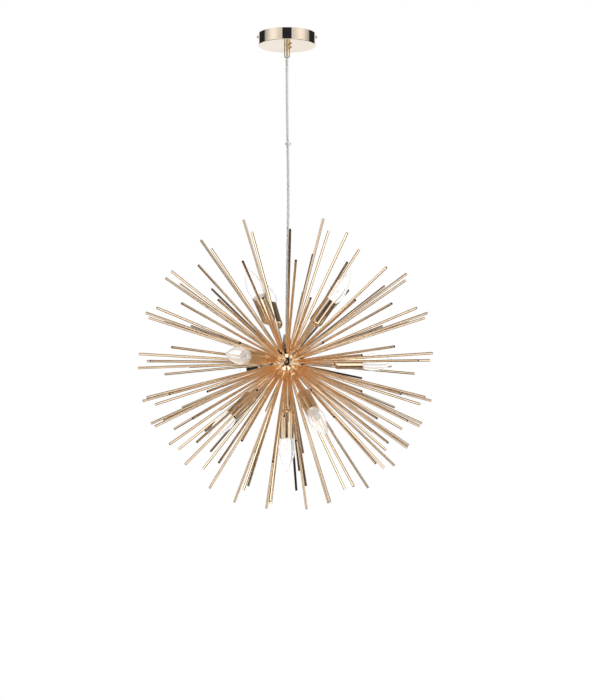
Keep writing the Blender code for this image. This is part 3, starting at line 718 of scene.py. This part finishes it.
def slotted_screw(name, node, origin, axis, body):
    """Domed slotted head with a threaded shank."""
    matrix = radial_frame(Vector(axis), Vector(origin))
    head = spline_points([(0.0, 0.0022), (0.0012, 0.00212), (0.0024, 0.0016), (0.0031, 0.0009), (0.0033, 0.0004)], 3)
    shank = 0.0055
    loop = [(max(p.x, 0.0), p.y) for p in head] + [(0.0033, 0.0001), (0.0031, 0.0), (0.00135, 0.0)]
    steps = 40
    loop += [(0.00135, -0.0003 - (shank - 0.0008) * i / steps) for i in range(steps + 1)] + [(0.0008, -shank), (0.0, -shank)]
    b = Builder()
    b.turn(loop, 32, matrix, closed=False, shape=lambda rr, z, u: rr + 0.00011 * math.cos(2 * math.pi * (z / 0.0005 - u)) if z < -0.0002 and rr > 0.001 else rr)
    obj = b.object(name, [M["screw"]], sharp=45.0)
    carve(obj, [bar_cutter(matrix @ at(0, 0, 0.0022), (0.0080, 0.0008, 0.0018))], 40.0)
    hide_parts(node)
    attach(obj, body)


for side, word in ((-1, "left"), (1, "right")):
    slotted_screw("side_screw_head_" + word, "canopy_side_screw_" + word, (side * (CANOPY_R + 0.0006), 0, SIDE_SCREW_Z), (side, 0, 0), "side_screw_" + word)

# ---------------------------------------------------------------- cord grip and thumb screw
b = Builder()
b.turn(rounded([
    (NIPPLE_R - 0.0001, NIPPLE_TOP, 0.0003), (NIPPLE_R - 0.0001, GRIP_TOP, 0.0), (GRIP_R, GRIP_TOP, 0.0003), (GRIP_R, GRIP_TOP - 0.0026, 0.0003), (GRIP_R - 0.0004, GRIP_TOP - 0.0029, 0.0),
    (GRIP_R - 0.0004, GRIP_TOP - 0.0034, 0.0), (GRIP_R, GRIP_TOP - 0.0037, 0.0003), (GRIP_R, GRIP_BOTTOM + 0.0024, 0.0013), (GRIP_R - 0.0008, GRIP_BOTTOM, 0.0002), (0.0049, GRIP_BOTTOM, 0.0001), (0.0049, GRIP_TOP - 0.003, 0.0),
    (0.0026, GRIP_TOP - 0.003, 0.0), (0.0026, NIPPLE_TOP, 0.0002),
], 5), 72, at(0, 0, 0))
grip = b.object("cord_grip", [M["grip"]], sharp=32.0)
az = math.radians(THUMB_AZ)
out = Vector((math.cos(az), math.sin(az), 0.0))
carve(grip, [pin_cutter(radial_frame(out, Vector((0, 0, THUMB_Z)) + out * 0.0060), 0.0016, 0.006)])
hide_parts("cord_grip_barrel")
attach(grip, "canopy")

b = Builder()
matrix = radial_frame(out, Vector((0, 0, THUMB_Z)) + out * (GRIP_R + 0.0006))
loop = [(0.0, 0.0048)] + rounded([(0.0022, 0.0048, 0.0), (0.0026, 0.0044, 0.0002), (0.0026, 0.0012, 0.0002), (0.0020, 0.0007, 0.0001), (0.0020, 0.0, 0.0001), (0.0012, 0.0, 0.0)], 3, False)
loop += [(0.0012, -0.0001 - 0.0015 * i / 16) for i in range(17)] + [(0.0, -0.0017)]
b.turn(loop, 72, matrix, closed=False,
       shape=lambda rr, z, u: rr - 0.00016 * (0.5 + 0.5 * math.cos(2 * math.pi * 24 * u)) if rr > 0.00255 and 0.0013 < z < 0.0046 else rr)
thumb = b.object("thumb_screw_knob", [M["screw"]], sharp=40.0)
carve(thumb, [bar_cutter(matrix @ at(0, 0, 0.0048), (0.0060, 0.0007, 0.0014))], 40.0)
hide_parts("grip_thumb_screw")
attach(thumb, "thumb_screw")

b = Builder()
b.turn(rounded([(RING_R, PIVOT_Z + RING_H / 2, 0.0004), (RING_R, PIVOT_Z - RING_H / 2, 0.0004), (RING_BORE_R, PIVOT_Z - RING_H / 2, 0.0002), (RING_BORE_R, PIVOT_Z + RING_H / 2, 0.0002)]), 48)
collar = b.object("strain_relief_collar", [M["clear"]])
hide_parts("strain_relief_ring")
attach(collar, "cord_top")


# ---------------------------------------------------------------- CAD pieces kept as they are
def dress(node, mat):
    obj = NODES[node]
    if not obj.material_slots:
        obj.data.materials.append(mat)
    for s in obj.material_slots:
        s.material = mat


for node in ("ceiling_bracket", "grip_locknut", "earth_screw"):
    dress(node, M["steel"])
dress("terminal_block", M["white"])
dress("hub_lead_connector", M["white"])
dress("supply_cores", M["insulation"])

# ---------------------------------------------------------------- floor and studio
FLOOR_Z = -2.40
BOX_END, GAP_HALF, BOX_LEVEL, TALL_LEVEL = 54.0, 18.5, 1.14, 3.0
b = Builder()
b.turn([(0.0, 0.0), (0.8, 0.0), (1.6, 0.0), (2.4, 0.0), (3.0, 0.0)][::-1], 96, at(0, 0, FLOOR_Z), closed=False)
floor_mat, tree, bsdf = new_material("pale_floor")
coord = tree.nodes.new("ShaderNodeTexCoord")
length = tree.nodes.new("ShaderNodeVectorMath")
length.operation = "LENGTH"
flatten = tree.nodes.new("ShaderNodeVectorMath")
flatten.operation = "MULTIPLY"
flatten.inputs[1].default_value = (1.0, 1.0, 0.0)
tree.links.new(coord.outputs["Object"], flatten.inputs[0])
tree.links.new(flatten.outputs["Vector"], length.inputs[0])
edge = spread(tree, length.outputs["Value"], 0.25, 1.0, 0.6, 2.9)
bsdf.inputs["Base Color"].default_value = (0.86, 0.86, 0.85, 1.0)
bsdf.inputs["Roughness"].default_value = 0.6
bsdf.inputs["Emission Color"].default_value = (1.0, 1.0, 1.0, 1.0)
tree.links.new(edge, bsdf.inputs["Emission Strength"])
floor = b.object("studio_floor", [floor_mat], weighted=False)
floor.visible_glossy = False

# The studio is a white cove behind the light and tall soft boxes round the camera's side, with
# the camera's own dark gap between them, an unlit ceiling and floor, and the dark room between
# boxes and cove. Only mirror reflections see that: the eye, soft shading and clear materials
# get plain white.
world = bpy.data.worlds.new("studio")
world.use_nodes = True
bpy.context.scene.world = world
tree = world.node_tree
tree.nodes.clear()


def math_node(operation, a, b=None, c=None):
    node = tree.nodes.new("ShaderNodeMath")
    node.operation = operation
    for socket, value in zip(node.inputs, (a, b, c)):
        if isinstance(value, (int, float)):
            socket.default_value = value
        elif value is not None:
            tree.links.new(value, socket)
    return node.outputs["Value"]


def step(value, start, end):
    """0 before start, 1 after end, smooth between; start may be the larger."""
    node = tree.nodes.new("ShaderNodeMapRange")
    node.interpolation_type = "SMOOTHSTEP"
    low, high = (start, end) if start < end else (end, start)
    node.inputs["From Min"].default_value = low
    node.inputs["From Max"].default_value = high
    node.inputs["To Min"].default_value = 0.0 if start < end else 1.0
    node.inputs["To Max"].default_value = 1.0 if start < end else 0.0
    tree.links.new(value, node.inputs["Value"])
    return node.outputs["Result"]


def cosine(angle):
    return math.cos(math.radians(angle))


coord = tree.nodes.new("ShaderNodeTexCoord")
split = tree.nodes.new("ShaderNodeSeparateXYZ")
tree.links.new(coord.outputs["Generated"], split.inputs["Vector"])
dot = tree.nodes.new("ShaderNodeVectorMath")
dot.operation = "DOT_PRODUCT"
dot.inputs[1].default_value = tuple(-toward_hub)
tree.links.new(coord.outputs["Generated"], dot.inputs[0])
facing = dot.outputs["Value"]                      # cosine of the angle from the camera's direction
flat_len = math_node("MAXIMUM", math_node("SQRT", math_node("ADD", math_node("MULTIPLY", split.outputs["X"], split.outputs["X"]), math_node("MULTIPLY", split.outputs["Y"], split.outputs["Y"]))), 0.001)
bearing = math_node("DIVIDE", math_node("MULTIPLY", split.outputs["Y"], -1.0), flat_len)  # cosine of the bearing from the camera
height = math_node("ABSOLUTE", split.outputs["Z"])
low_band = step(height, 0.52, 0.40)
boxes = math_node("MAXIMUM", step(facing, cosine(BOX_END + 3), cosine(BOX_END - 3)), math_node("MULTIPLY", step(bearing, cosine(102), cosine(97)), low_band))
gap = math_node("MULTIPLY", step(bearing, cosine(GAP_HALF + 1.0), cosine(GAP_HALF - 1.0)), step(height, 0.46, 0.38))
tall = math_node("MULTIPLY_ADD", step(height, 0.44, 0.60), TALL_LEVEL - 1.0, 1.0)   # the boxes are brighter above and below
gap_open = math_node("SUBTRACT", 1.0, gap)
cove = math_node("MAXIMUM", step(facing, cosine(148), cosine(153)), math_node("MULTIPLY", step(bearing, cosine(144), cosine(148)), low_band))
fade = tree.nodes.new("ShaderNodeValToRGB")
tree.links.new(math_node("MULTIPLY_ADD", bearing, 0.5, 0.5), fade.inputs["Fac"])
stops = [(100, 0.38), (92, 0.46), (84, 0.60), (74, 0.82), (64, 0.97), (55, 1.0), (46, 0.94), (37, 0.80), (29, 0.69), (18, 0.66)]
while len(fade.color_ramp.elements) < len(stops):
    fade.color_ramp.elements.new(0.5)
for e, (angle, level) in zip(fade.color_ramp.elements, stops):
    e.position = (cosine(angle) + 1) / 2
for e, (angle, level) in zip(fade.color_ramp.elements, stops):
    e.color = (level, level * 0.975, level * 0.94, 1.0)
box_light = tree.nodes.new("ShaderNodeVectorMath")
box_light.operation = "SCALE"
tree.links.new(fade.outputs["Color"], box_light.inputs[0])
tree.links.new(math_node("MULTIPLY", math_node("MULTIPLY", math_node("MULTIPLY", boxes, gap_open), tall), BOX_LEVEL), box_light.inputs["Scale"])
cove_light = tree.nodes.new("ShaderNodeVectorMath")
cove_light.operation = "SCALE"
cove_light.inputs[0].default_value = (1.0, 1.0, 1.0)
tree.links.new(cove, cove_light.inputs["Scale"])
both = tree.nodes.new("ShaderNodeVectorMath")
both.operation = "ADD"
tree.links.new(box_light.outputs["Vector"], both.inputs[0])
tree.links.new(cove_light.outputs["Vector"], both.inputs[1])
room = tree.nodes.new("ShaderNodeVectorMath")
room.operation = "ADD"
behind = math_node("MULTIPLY", step(facing, 0.0, -0.12), step(height, 0.45, 0.60))   # pale walls above and below the cove
walls = tree.nodes.new("ShaderNodeVectorMath")
walls.operation = "MULTIPLY_ADD"
walls.inputs[0].default_value = (0.13, 0.098, 0.068)
tree.links.new(behind, walls.inputs[1])
walls.inputs[2].default_value = (0.026, 0.026, 0.036)
tree.links.new(walls.outputs["Vector"], room.inputs[1])
tree.links.new(both.outputs["Vector"], room.inputs[0])
studio = tree.nodes.new("ShaderNodeBackground")
tree.links.new(room.outputs["Vector"], studio.inputs["Color"])
white = tree.nodes.new("ShaderNodeBackground")
white.inputs["Color"].default_value = (1.0, 1.0, 1.0, 1.0)
path = tree.nodes.new("ShaderNodeLightPath")
mix = tree.nodes.new("ShaderNodeMixShader")
tree.links.new(path.outputs["Is Glossy Ray"], mix.inputs["Fac"])
tree.links.new(white.outputs["Background"], mix.inputs[1])
tree.links.new(studio.outputs["Background"], mix.inputs[2])
output = tree.nodes.new("ShaderNodeOutputWorld")
tree.links.new(mix.outputs["Shader"], output.inputs["Surface"])
bpy.context.scene.view_settings.view_transform = "Standard"

# ---------------------------------------------------------------- last update of the scene
bpy.context.view_layer.update()
